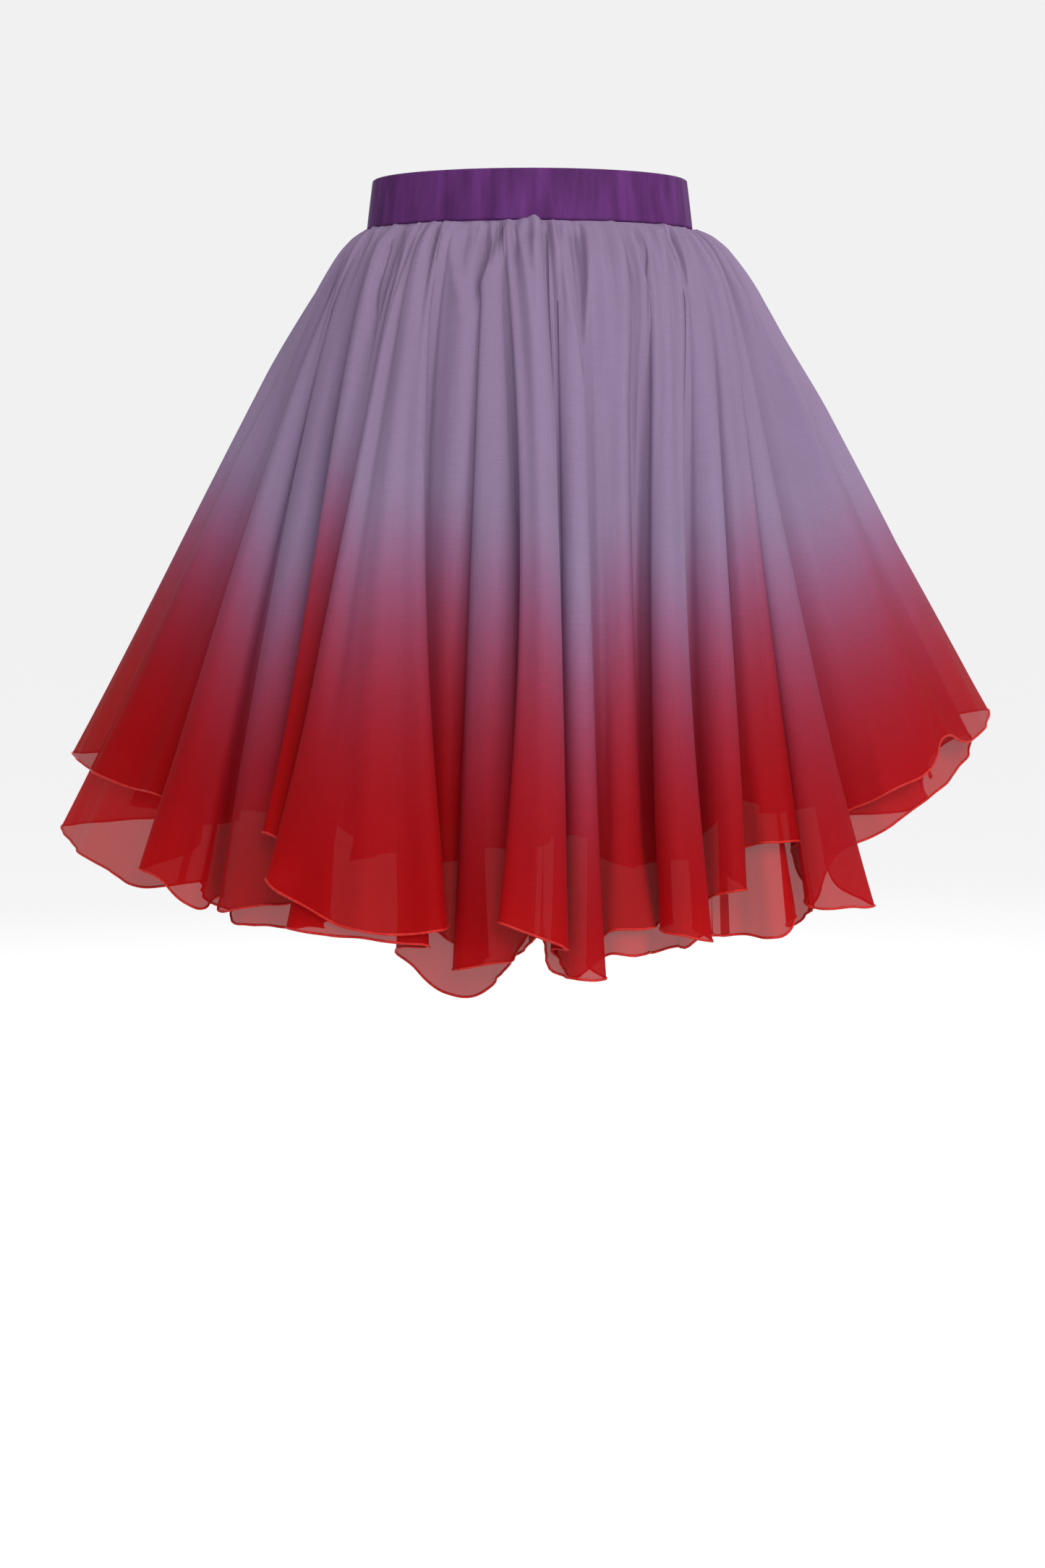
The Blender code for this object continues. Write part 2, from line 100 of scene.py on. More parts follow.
# Angles are degrees round the waist from the middle of the front, + towards +X.
# under_l and under_r say how long the lower layer is there, as a multiple of the upper layer.
# The other columns are in millimetres. x, y and drop are where the face's left and right edges end at the
# hem, with drop measured below the band, and tuck_x and tuck_y are the innermost point of the cloth behind
# the right edge. gap is how far inside the face the lower layer hangs at the hem of the upper one. Where it
# is 0, the lower layer runs straight past behind the fold, from one tuck to the next. sway_l and sway_r are
# how far the edges bend towards +X at half their length. Only left_panel's tuck differs from the solids'.
MM = 0.001
Fold = namedtuple(
    "Fold",
    "name angle_l angle_r under_l under_r x_l y_l drop_l x_r y_r drop_r tuck_x tuck_y gap sway_l sway_r",
)
FRONT_FOLDS = [
    Fold(*row[:5], *(length * MM for length in row[5:]))
    for row in (
        ("left_gore", -92, -79, 1.14, 1.16, -356, 4, 404, -272, -120, 424, -250, -112, 13, 0, 0),
        ("left_panel", -74, -69, 1.03, 1.03, -281, -172, 470, -232, -192, 474, -226, -182, 0, -3, -6),
        ("left_ridge", -65, -59, 1.02, 1.04, -217, -226, 491, -166, -232, 482, -146, -234, 5, -6, 0),
        ("left_strip", -56, -44, 1.12, 1.12, -183, -252, 431, -160, -256, 440, -146, -260, 0, 0, 4),
        ("big_panel", -40, -30, 1.07, 1.03, -178, -280, 458, -58, -296, 488, -78, -252, 4, 4, -11),
        ("small_ridge", -25, -18, 1.08, 1.07, -63, -260, 500, -48, -262, 510, -32, -256, 0, -8, -4),
        ("low_fold", -12, -10, 1.01, 1.00, -53, -286, 521, -10, -290, 512, -2, -274, 0, 0, 8),
        ("middle_panel", -7, 5, 1.03, 1.03, -21, -312, 483, 24, -312, 501, 19, -282, 0, 12, 3),
        ("tube", 9, 13, 1.01, 1.01, 26, -297, 523, 47, -300, 525, 44, -266, 0, 0, 0),
        ("set_back_panel", 18, 34, 1.03, 1.05, 53, -270, 498, 87, -260, 495, 96, -241, 4, 0, -6),
        ("right_tube", 40, 49, 1.03, 1.03, 90, -275, 496, 124, -276, 503, 117, -234, 0, -6, -10),
        ("right_strip", 55, 60, 1.06, 1.08, 129, -246, 476, 152, -240, 472, 142, -207, 0, -4, 0),
        ("short_panel", 63.5, 67, 1.14, 1.15, 155, -213, 446, 189, -204, 444, 192, -178, 4, 0, 0),
        ("right_fold", 72, 76.5, 1.02, 1.02, 203, -217, 490, 244, -196, 492, 220, -142, 0, -4, -6),
        ("right_gore", 80, 93, 1.07, 1.05, 258, -141, 420, 359, -10, 368, 318, 18, 18, 0, 0),
    )
]

# The folds of the back follow one rule: evenly spread, but uneven in width, place, reach, drop and depth by
# these shares of a fold, or by these lengths.
BACK_FOLDS = 10
BACK_FROM, BACK_TO = 98.0, 262.0
BACK_REACH_SIDE, BACK_REACH_MIDDLE = 0.325, 0.292
BACK_DROP_SIDE, BACK_DROP_MIDDLE = 0.420, 0.500
BACK_FACE_SHARE = 0.74
BACK_TUCK_DEPTH = 0.036
BACK_GAP = 0.006
BACK_UNDER = 1.06
UNEVEN_WIDTH, UNEVEN_PLACE, UNEVEN_DEPTH = 0.04, 0.05, 0.2
UNEVEN_LENGTH, UNEVEN_EDGE, UNEVEN_UNDER = 0.008, 0.006, 0.02

# Each layer is cut as four gores. A seam lies in the tuck behind the fold that it is named by.
GORES = ("left_front", "left_back", "right_back", "right_front")
SEAM_FOLDS = {
    "outer": ("middle_panel", "right_gore", "back_04", "back_09"),
    "under": ("low_fold", "right_strip", "back_04", "left_gore"),
}

# The sheets are this fine. The rows lie closest together near the band, and the columns are spread evenly
# along each gore's hem, which is first measured at this many places.
COLUMN_STEP = 0.0034
HEM_PLACES = 900
ROW_SHARES = np.concatenate(
    [np.linspace(0, 0.03, 13), np.linspace(0.03, 0.12, 19)[1:], np.linspace(0.12, 1, 89)[1:]]
)
# Rounding softens the folds' edges. It takes more passes from ROUNDING_FROM down to the hem, and each has a
# step that evens out and one that keeps the folds from shrinking.
ROUNDING_PASSES = 12
ROUNDING_AT_HEM = 140
ROUNDING_FROM = 0.3
ROUNDING_STEPS = (0.5, -0.53)

# How each layer reads the tables below. A share of the lower one lies further down, by one multiple for its
# relief and another for its dye. Its creases are lower and it has no puffs.
Reading = namedtuple("Reading", "reach dye_reach crease_height puff_height")
READINGS = {"outer": Reading(1.0, 1.0, 1.0, 1.0), "under": Reading(1.06, 1.04, 0.35, 0.0)}

# Gathers under the band: how many go round, where they start, how much they bunch and in how many bunches,
# how high they stand, where they are highest and how far down they fade, as shares of the length.
Gather = namedtuple("Gather", "waves phase bunch bunches height peak fade")
GATHERS = (
    Gather(104, 1.7, 1.0, 7, 0.0009, 0.012, 0.06),
    Gather(68, 0.4, 1.3, 5, 0.0022, 0.024, 0.11),
    Gather(41, 2.9, 1.2, 4, 0.0030, 0.05, 0.22),
    Gather(24, 5.1, 1.0, 3, 0.0032, 0.13, 0.55),
)
# They have this share of their height at the band, and differ in height and in reach by these shares. The
# power makes their ridges round and their valleys narrow.
GATHER_AT_BAND = 0.3
GATHER_UNEVEN_HEIGHT, GATHER_UNEVEN_FADE = 0.35, 0.45
VALLEY_POWER = 0.8
# Where gathers puff up over the lower edge of the band. They are lower round the two sides.
PUFF_UP, PUFF_OUT = 0.0042, 0.0030
PUFFS_AT_SIDES = 0.25
PUFF_AT, PUFF_REACH = 0.011, 0.009
# The puffs are bunched waves in groups, which PUFF_MORE widens. Slow waves are given as their height, how
# many go round and their phase.
PUFF_WAVES = (23, 0.9, 1.2, 5, 0.4)
PUFF_GROUPS = ((1.0, 7, 1.0), (1.0, 12, 2.3))
PUFF_MORE = 0.6

# Open tops of tucks under the band, which narrow to a point: the waist angle, half the width in degrees, the
# depth, and how far down they close.
Notch = namedtuple("Notch", "angle half depth end")
NOTCHES = (
    Notch(-47.0, 5.5, 0.0060, 0.24),
    Notch(-17.0, 8.0, 0.0084, 0.16),
    Notch(-1.5, 3.0, 0.0036, 0.10),
    Notch(13.5, 4.5, 0.0060, 0.23),
    Notch(37.0, 3.5, 0.0048, 0.18),
    Notch(52.0, 3.5, 0.0048, 0.16),
    Notch(71.0, 3.0, 0.0042, 0.12),
    Notch(-72.0, 3.5, 0.0048, 0.15),
    Notch(112.0, 6.0, 0.0060, 0.18),
    Notch(139.0, 4.0, 0.0048, 0.14),
    Notch(168.0, 7.0, 0.0072, 0.20),
    Notch(196.0, 4.0, 0.0042, 0.13),
    Notch(221.0, 7.0, 0.0066, 0.18),
    Notch(249.0, 4.0, 0.0042, 0.14),
)

# The width left at their points, how steep their walls are and how fast they get shallow. Their lips stand
# out by a share of the depth, at a multiple of the half width. At the band the depth is a share of itself.
NOTCH_POINT = 0.02
NOTCH_STEEPNESS = 6
NOTCH_DEPTH_POWER = 0.7
NOTCH_LIP, NOTCH_LIP_AT, NOTCH_LIP_WIDTH = 0.25, 1.3, 0.35
NOTCH_AT_BAND, NOTCH_FULL_AT = 0.35, 0.03

# Where a layer hangs longer than its lines say, or shorter: a fold, the share of the way across its face,
# how far this reaches as a share of the face's width, and how much longer it is, as a share of its length.
HEM_DROPS = {
    "outer": (
        ("big_panel", 0.52, 0.62, 0.036),
        ("left_panel", 0.95, 0.75, 0.042),
        ("right_gore", 0.42, 0.20, -0.036),
    ),
    "under": (
        ("short_panel", 1.05, 0.55, -0.026),
        ("set_back_panel", 1.00, 0.40, -0.014),
    ),
}

# The middle of a fold's face stands out by a share of the face's width, up to a limit. It begins this far
# down, and is full after this much more of the length.
CROWN_SHARE = 0.075
CROWN_LIMIT = 0.0062
CROWN_FROM, CROWN_OVER = 0.12, 0.5

# Creases of the front, as soft ridges (+) and troughs (-). Each starts at a share of the width of a fold's
# face, drifts by a share of that width down the length, and runs from start to end, as shares of the length.
Crease = namedtuple("Crease", "fold share drift start end width height")
CREASES = [
    Crease("left_gore", 0.22, 0.05, 0.10, 1.10, 0.016, 0.0042),
    Crease("left_gore", 0.42, 0.00, 0.15, 1.10, 0.013, -0.0034),
    Crease("left_gore", 0.62, -0.06, 0.25, 1.10, 0.015, 0.0036),
    Crease("left_gore", 0.82, -0.03, 0.20, 1.10, 0.012, -0.0036),
    Crease("left_panel", 0.40, 0.00, 0.10, 1.10, 0.013, 0.0036),
    Crease("left_ridge", 0.35, 0.05, 0.10, 1.10, 0.012, 0.0034),
    Crease("left_ridge", 0.80, 0.00, 0.20, 1.00, 0.007, -0.0022),
    Crease("left_strip", 0.55, 0.00, 0.05, 1.00, 0.010, -0.0045),
    Crease("big_panel", 0.10, 0.04, 0.02, 0.80, 0.008, 0.0030),
    Crease("big_panel", 0.22, 0.03, 0.02, 0.85, 0.007, -0.0032),
    Crease("big_panel", 0.38, -0.02, 0.02, 0.95, 0.011, -0.0024),
    Crease("big_panel", 0.55, 0.02, 0.10, 1.10, 0.011, 0.0026),
    Crease("big_panel", 0.72, 0.03, 0.20, 1.10, 0.012, -0.0022),
    Crease("big_panel", 0.92, 0.00, 0.10, 1.05, 0.010, 0.0030),
    Crease("low_fold", 0.50, 0.00, 0.35, 1.10, 0.011, 0.0026),
    Crease("middle_panel", 0.25, 0.00, 0.02, 0.80, 0.006, -0.0024),
    Crease("middle_panel", 0.50, 0.05, 0.02, 1.00, 0.009, 0.0030),
    Crease("middle_panel", 0.80, 0.00, 0.30, 1.05, 0.006, -0.0020),
    Crease("tube", 0.50, 0.00, 0.20, 1.10, 0.009, 0.0024),
    Crease("set_back_panel", 0.25, 0.00, 0.15, 0.80, 0.008, -0.0028),
    Crease("set_back_panel", 0.55, 0.05, 0.05, 1.00, 0.011, 0.0034),
    Crease("set_back_panel", 0.97, 0.00, 0.10, 1.05, 0.022, -0.0080),
    Crease("right_tube", 0.45, 0.00, 0.05, 1.05, 0.012, 0.0034),
    Crease("right_tube", 0.80, 0.03, 0.10, 0.90, 0.006, -0.0022),
    Crease("right_strip", 0.50, 0.00, 0.10, 1.05, 0.008, 0.0026),
    Crease("short_panel", 0.45, 0.00, 0.20, 1.05, 0.010, -0.0028),
    Crease("right_fold", 0.40, 0.05, 0.10, 1.05, 0.013, 0.0036),
    Crease("right_gore", 0.04, 0.02, 0.10, 1.05, 0.018, -0.0060),
    Crease("right_gore", 0.32, 0.00, 0.15, 1.10, 0.016, 0.0042),
    Crease("right_gore", 0.54, -0.04, 0.25, 1.10, 0.015, -0.0038),
    Crease("right_gore", 0.74, 0.02, 0.20, 1.10, 0.014, 0.0036),
    Crease("right_gore", 0.90, 0.02, 0.30, 1.10, 0.009, -0.0026),
]

# Each fold of the back has this many creases, BACK_CREASE_STEP of its face apart. They vary by the numbers
# in the second row, and their height by a share of itself.
BACK_CREASES = 2
BACK_CREASE_STEP = 0.42
BACK_CREASE = Crease("any", 0.28, 0.00, 0.12, 0.85, 0.012, 0.0034)
BACK_CREASE_VARIES = Crease("any", 0.06, 0.04, 0.12, 0.20, 0.0, 0.3)
# A crease comes up and ends over this share of the length, and is wider further down.
CREASE_ENDS = 0.18
CREASE_WIDTH_AT_BAND, CREASE_WIDENING = 0.4, 0.9

# Slow waves of the free edge. They begin at this share of the length.
FLUTTER_HEIGHT = 0.0014
FLUTTER_FROM = 0.75
FLUTTER_WAVES = ((1.0, 21.0, 0.0), (0.7, 34.0, 1.3), (0.4, 55.0, 0.5))

# The dye: how far down the cloth the red shows, and where it is full, for each fold. It comes on softly,
# over a stretch that is longer by DYE_SOFT at both ends.
DYES = {
    "left_gore": (0.48, 0.93),
    "left_panel": (0.49, 0.95),
    "left_ridge": (0.55, 1.01),
    "left_strip": (0.44, 0.88),
    "big_panel": (0.49, 0.94),
    "small_ridge": (0.43, 0.84),
    "low_fold": (0.48, 0.97),
    "middle_panel": (0.53, 1.00),
    "tube": (0.57, 1.02),
    "set_back_panel": (0.49, 0.96),
    "right_tube": (0.56, 0.98),
    "right_strip": (0.55, 1.01),
    "short_panel": (0.51, 0.98),
    "right_fold": (0.52, 1.01),
    "right_gore": (0.59, 1.09),
}
BACK_DYE = (0.46, 0.91)
DYE_SOFT = 0.25
# A fold's dye is level between these shares of its face, but for waves of DYE_UNEVEN. The full red follows
# them by a share.
DYE_LEVEL = (0.2, 0.8)
DYE_UNEVEN = 0.012
DYE_WAVES = ((1.0, 9, 1.0), (0.8, 23, 2.0), (0.6, 41, 0.7))
DYE_FULL_FOLLOWS = 0.7

# Undyed lilac, the full red, and how many stops the ramp between them has. Dye soaks in by degrees, so each
# channel changes by about the same ratio from one stop to the next. These powers make blue fade the latest.
LILAC = (0.322, 0.238, 0.374)
RED = (0.385, 0.0024, 0.0036)
DYE_POWERS = (1.0, 1.0, 1.15)
DYE_STOPS = 12
# One layer covers this share of what is behind it.
OPACITY = 0.90
# This share of the light that meets the cloth is scattered through to its other side.
LET_THROUGH = 0.50

# Uneven threads show as fine streaks, this many to the metre across and along the cloth, both ways.
SLUB_SCALES = ((900.0, 30.0), (30.0, 900.0))
SLUB_SHADE = 0.10
# Clouds make the colour uneven by this share. The threads are waves of this scale, in fine relief.
CLOUD_SCALE = 9.0
CLOUD_SHADE = 0.07
THREAD_SCALE = 520.0
THREAD_RELIEF = 0.0002

# The hem thread's dark and light colours, and the satin's purple with painted shade and painted sheen, and
# where each is reached in the noise that picks them. The noise of the satin is stretched upwards, so its
# painted shade and sheen lie in upright streaks, as light falls on puckers.
THREAD_COLORS = ((0.35, (0.30, 0.006, 0.006)), (0.65, (0.44, 0.012, 0.007)))
SATIN_SHADE_AND_SHEEN_COLORS = ((0.30, (0.048, 0.012, 0.063)), (0.72, (0.090, 0.023, 0.118)))
SHEEN_STREAK_STRETCH = 0.12

# The lower layer is this share shorter round the first fold of the back, out to this multiple of its face's
# width, which keeps its corner from showing.
SHORTER_BACK = 0.040
SHORTER_REACH = 1.1

# The rolled hem's radius and sides, how far inside the cloth the seams lie, and their width in columns.
HEM_ROLL = 0.0009
HEM_SIDES = 8
SEAM_INSET = 0.0006
SEAM_COLUMNS = 2

# What each gore was cut to, in metres: its width at the hem, its longest length and its flat area, with a
# top edge half as wide again as its stretch of the band.
Cut = namedtuple("Cut", "width length area")

# The studio: a round pale floor that glows a little, a pale world, and lights that all face one place. Each
# light has a name, place, size, power and colour.
FLOOR_Z = -1.13
FLOOR_RADIUS = 40.0
FLOOR_SIDES = 96
FLOOR_COLOR = (0.55, 0.55, 0.555, 1)
FLOOR_GLOW = 0.395
WORLD_COLOR = (0.88, 0.88, 0.885, 1)
LIT_PLACE = (0, 0, -0.3)
LIGHTS = (
    ("key", (1.5, -1.6, 1.3), 1.2, 42, (1.0, 0.99, 0.97)),
    ("front", (0.3, -2.1, 0.5), 0.7, 20, (0.99, 0.98, 1.0)),
    ("rim", (1.6, 1.6, 1.0), 1.2, 10, (1.0, 1.0, 1.0)),
    ("back", (-0.5, 2.4, 0.9), 1.0, 24, (1.0, 1.0, 1.0)),
)
# The camera stands where the photograph was taken from, and looks down by CAMERA_DOWN degrees.
CAMERA_PLACE = (-0.0056, -1.95, -0.205)
CAMERA_DOWN = 7.1
CAMERA_SENSOR, CAMERA_LENS = 36.0, 56.96


def back_folds():
    """One row for each fold of the back, from the wearer's left side round to the right."""
    rows = []
    step = (BACK_TO - BACK_FROM) / BACK_FOLDS
    for i in range(BACK_FOLDS):
        one, other = math.sin(2.4 * i + 0.6), math.sin(4.1 * i + 1.9)
        width = step * (BACK_FACE_SHARE + UNEVEN_WIDTH * other)
        start = BACK_FROM + step * (i + 0.5 + UNEVEN_PLACE * one) - width / 2
        end = start + width
        tuck = BACK_FROM + step * (i + 1 + UNEVEN_PLACE * other)
        sideness = abs(math.sin(math.radians((start + end) / 2)))
        reach = BACK_REACH_MIDDLE + (BACK_REACH_SIDE - BACK_REACH_MIDDLE) * sideness + UNEVEN_LENGTH * other
        drop = BACK_DROP_MIDDLE + (BACK_DROP_SIDE - BACK_DROP_MIDDLE) * sideness**2 + UNEVEN_LENGTH * one
        depth = BACK_TUCK_DEPTH * (1 + UNEVEN_DEPTH * one)
        ends = []
        for angle, out in ((start, reach), (end, reach + UNEVEN_EDGE * one), (tuck, reach - depth)):
            ends.append((out * math.sin(math.radians(angle)), -out * math.cos(math.radians(angle))))
        left, right, inner = ends
        under = (BACK_UNDER + UNEVEN_UNDER * other, BACK_UNDER + UNEVEN_UNDER * one)
        right_drop = drop + UNEVEN_EDGE * other
        name = f"back_{i:02d}"
        rows.append(Fold(name, start, end, *under, *left, drop, *right, right_drop, *inner, BACK_GAP, 0, 0))
    return rows


def in_plan(degrees, hem, sway, t):
    """Where a line of the upper layer is in plan, from its waist angle, its end at the hem and t down it."""
    angle = np.radians(degrees)
    around = np.stack([np.sin(angle), -np.cos(angle)], axis=-1)
    waist = around * (WAIST_HALF_WIDTH, WAIST_HALF_DEPTH)
    bell = (BELL_OUT + BELL_LEAN * around[:, 0]) * (1 - np.exp(-t / BELL_REACH))
    bell *= np.clip(1 - t, -BELL_TURN_IN, 1)
    plan = waist + (hem - waist) * t[:, None] + around * bell[:, None]
    plan[:, 0] += sway * 4 * t * np.clip(1 - t, 0, 1)
    return plan


def inset(ring, gaps):
    """How far each point of a closed outline in plan moves so that both of its sides move in by the gap."""
    ahead = np.roll(ring, -1, axis=0) - ring
    ahead /= np.linalg.norm(ahead, axis=1, keepdims=True)
    inward = np.column_stack([-ahead[:, 1], ahead[:, 0]])
    before = np.roll(inward, 1, axis=0)
    spread = np.maximum(1 + (inward * before).sum(axis=1), SHARPEST_MITRE)
    return (inward + before) / spread[:, None] * gaps[:, None]


def blend(first, second, share):
    """Values a share of the way from the first ones to the second ones."""
    return [a + (b - a) * share for a, b in zip(first, second)]


def fold_lines(folds):
    """The lines that the rings run through, the first line in each fold's tuck, and the straight runs.

    The columns are waist angle, hem x, y and drop, sway, the lower layer's length, its gap at the hem, and
    the way into the tuck in x and y.
    """
    lines, tucks, straight = [], {}, []
    for fold, following in zip(folds, folds[1:] + folds[:1]):
        left, right = np.array([fold.x_l, fold.y_l]), np.array([fold.x_r, fold.y_r])
        at_left = (fold.angle_l, fold.drop_l, fold.sway_l, fold.under_l)
        at_right = (fold.angle_r, fold.drop_r, fold.sway_r, fold.under_r)
        across = right - left
        width = np.hypot(*across)
        outward = np.array([across[1], -across[0]]) / width
        inner_points = max(1, round(width / FACE_LINE_STEP))
        first = len(lines)
        for i in range(inner_points + 2):
            share = i / (inner_points + 1)
            spot = left + across * share + outward * FACE_BOW * width * 4 * share * (1 - share)
            angle, *rest = blend(at_left, at_right, share)
            lines.append((angle, *spot, *rest, fold.gap, 0, 0))
        if width < NARROW_FOLD:
            straight.append((first, len(lines), math.inf if fold.gap == 0 else STRAIGHT_TO))
        tucks[fold.name] = len(lines)
        next_angle = following.angle_l + (360 if following.angle_l < fold.angle_r else 0)
        at_next = (next_angle, following.drop_l, following.sway_l, following.under_l)
        next_left = np.array([following.x_l, following.y_l])
        inward = (fold.tuck_x, fold.tuck_y) - (right + next_left) / 2
        inward /= np.hypot(*inward)
        beside = np.array([-inward[1], inward[0]])
        beside *= math.copysign(TUCK_ROUND / 2, beside @ (right - next_left))
        for share, side in ((1 / 3, 1), (2 / 3, -1)):
            angle, *rest = blend(at_right, at_next, share)
            gap = max(TUCK_GAP, min(fold.gap, following.gap))
            spot = (fold.tuck_x + beside[0] * side, fold.tuck_y + beside[1] * side)
            lines.append((angle, *spot, *rest, gap, *inward))
    return np.array(lines), tucks, straight


class Cloth:
    """The surface that both layers follow, as a function of the place round the ring and down the length."""

    def __init__(self):
        self.lines, self.tucks, self.straight = fold_lines(FRONT_FOLDS + back_folds())
        hem = self.lines[:, 1:3]
        # The square root of the chord keeps the curve from looping where lines lie close together.
        self.knots = np.concatenate([[0.0], np.cumsum(np.hypot(*(np.roll(hem, -1, axis=0) - hem).T) ** 0.5)])
        self.shifts = [self.shift_at(t) for t in GAP_LEVELS]

    def shift_at(self, t):
        """How far the lower layer lies inside the upper one at each fold line."""
        ring = in_plan(self.lines[:, 0], self.lines[:, 1:3], self.lines[:, 4], np.full(len(self.lines), t))
        clear = LAYER_GAP_AT_WAIST + GATHER_HEIGHT * min(t / GATHER_PEAK, 1)
        gaps = clear + self.lines[:, 6] * t**GAP_GROWTH
        shift = inset(ring, gaps)
        begun = min(t / STRAIGHT_FROM, 1)
        runs = [(a, b, begun * min(max(2 - 2 * t / to, 0), 1)) for a, b, to in self.straight]
        for first, last, weight in runs:
            ends = [first - 1, last]
            past_tuck = self.lines[ends, 7:9] * gaps[ends, None]
            shift[ends] += (past_tuck - shift[ends]) * weight
        for first, last, weight in runs:
            start, end = (ring[k] + shift[k] for k in (first - 1, last))
            share = np.cumsum(np.diff(self.knots).take(range(first - 1, last), mode="wrap"))
            passing = start + (end - start) * share[:-1, None] / share[-1] - ring[first:last]
            shift[first:last] += (passing - shift[first:last]) * weight
        return shift

    def shift(self, u, t):
        level = np.clip(np.searchsorted(GAP_LEVELS, t, side="right") - 1, 0, len(GAP_LEVELS) - 2)
        share = (t - GAP_LEVELS[level]) / (GAP_LEVELS[1] - GAP_LEVELS[0])
        total = np.zeros((len(u), 2))
        for i in np.unique(level):
            here = level == i
            low, high = self.along(self.shifts[i], u[here]), self.along(self.shifts[i + 1], u[here])
            total[here] = low + (high - low) * share[here, None]
        return total

    def along(self, values, u):
        """Reads one column of the lines at places u, as a smooth closed curve."""
        count = len(values)
        u = np.asarray(u) % self.knots[-1]
        k = np.clip(np.searchsorted(self.knots, u, side="right") - 1, 0, count - 1)
        # Gives a row of numbers as many dimensions as the values have.
        deep = (slice(None),) + (None,) * (values.ndim - 1)
        ahead = np.diff(self.knots)[deep]
        before = np.roll(ahead, 1, axis=0)
        slopes = (np.roll(values, -1, axis=0) - values) / ahead
        tangents = (np.roll(slopes, 1, axis=0) * ahead + slopes * before) / (before + ahead)
        step = ahead[k]
        share = (u - self.knots[k])[deep] / step
        after = (k + 1) % count
        s2, s3 = share**2, share**3
        return (
            (2 * s3 - 3 * s2 + 1) * values[k]
            + (s3 - 2 * s2 + share) * step * tangents[k]
            + (3 * s2 - 2 * s3) * values[after]
            + (s3 - s2) * step * tangents[after]
        )

    def waist_angle(self, u):
        """Degrees round the waist at places u."""
        turned = np.append(self.lines[:, 0], self.lines[0, 0] + 360)
        return np.interp(np.asarray(u) % self.knots[-1], self.knots, turned)

    def plain_point(self, u, t, lower=False):
        """The middle of a layer at u, and t of the upper layer's length below the band."""
        hem, sway = self.along(self.lines[:, 1:3], u), self.along(self.lines[:, 4], u)
        flat = in_plan(self.waist_angle(u), hem, sway, t)
        if lower:
            flat += self.shift(u, t)
        drop = self.along(self.lines[:, 3], u)
        return np.column_stack([flat, SEAM_Z - SEAM_GAP - drop * t])


def distance_along(points):
    """How far along a row of points each one is."""
    return np.concatenate([[0], np.cumsum(np.linalg.norm(np.diff(points, axis=0), axis=1))])


def ring_of_columns(cloth, layer):
    """Places all round the layer, about COLUMN_STEP apart at the hem, and where each gore starts in them."""
    starts = [cloth.knots[cloth.tucks[name]] for name in SEAM_FOLDS[layer]]
    edges = np.array(starts + starts[:1])
    edges += np.cumsum(np.concatenate([[0], np.diff(edges) < 0])) * cloth.knots[-1]
    places, cuts = [], [0]
    for a, b in zip(edges, edges[1:]):
        fine = np.linspace(a, b, HEM_PLACES)
        along = distance_along(row_points(cloth, layer, fine, 1.0))
        steps = int(math.ceil(along[-1] / COLUMN_STEP))
        places.append(np.interp(np.linspace(0, along[-1], steps + 1), along, fine)[:-1])
        cuts.append(cuts[-1] + steps)
    return np.concatenate(places), cuts


def row_points(cloth, layer, places, share):
    """A row of the plain layer, a share of the way down it."""
    share = np.full(len(places), float(share))
    if layer == "outer":
        return cloth.plain_point(places, share * longer(cloth, layer, places))
    first, last = face_of(cloth, "back_00")
    away = (places - first) / ((last - first) * SHORTER_REACH)
    shorter = SHORTER_BACK * (1 - smooth(np.abs(away)))
    length = (cloth.along(cloth.lines[:, 5], places) - shorter) * longer(cloth, layer, places)
    return cloth.plain_point(places, share * length, lower=True)


def surface_normals(points):
    """Outward unit normals of a closed ring of columns, as rows of points."""
    down = np.gradient(points, axis=0)
    down[0, :, :2] = 0
    ahead = np.roll(points, -1, axis=1) - np.roll(points, 1, axis=1)
    normal = np.cross(down, ahead)
    return normal / np.linalg.norm(normal, axis=2, keepdims=True)


def bunched(turn, waves, phase, bunch, bunches, bunch_phase):
    """The phase of waves that go round the ring and are drawn together in bunches."""
    return waves * turn + phase + bunch * np.sin(bunches * turn + bunch_phase)


def slow_waves(turn, table):
    """The sum of a few waves."""
    return sum(height * np.sin(turn * waves + phase) for height, waves, phase in table)


def gathers(cloth, places, shares):
    """How far the gathers stand out, by rows and columns."""
    turn = np.radians(cloth.waist_angle(places))[None, :]
    t = shares[:, None]
    total = np.zeros((len(shares), len(places)))
    for g in GATHERS:
        phase = bunched(turn, g.waves, g.phase, g.bunch, g.bunches, g.phase)
        wave = 2 * np.abs(np.sin(phase / 2)) ** VALLEY_POWER - 1
        fade = g.fade * (1 + GATHER_UNEVEN_FADE * np.sin(g.bunches * 3 * turn + 2 * g.phase))
        rise = GATHER_AT_BAND + (1 - GATHER_AT_BAND) * smooth(t / g.peak)
        height = g.height * (1 + GATHER_UNEVEN_HEIGHT * np.sin((g.bunches + 4) * turn + 3 * g.phase))
        total += height * wave * rise * np.exp(-np.clip(t - g.peak, 0, 2) / fade)
    return total


def puffs(cloth, places, shares):
    """How much each place belongs to a gather that puffs up over the edge of the band, from 0 to 1."""
    turn = np.radians(cloth.waist_angle(places))[None, :]
    group = slow_waves(turn, PUFF_GROUPS) + PUFF_MORE
    each = 0.5 + 0.5 * np.sin(bunched(turn, *PUFF_WAVES))
    facing = PUFFS_AT_SIDES + (1 - PUFFS_AT_SIDES) * np.cos(turn) ** 2
    return facing * smooth(group * 0.5) * each * np.exp(-(((shares[:, None] - PUFF_AT) / PUFF_REACH) ** 2))


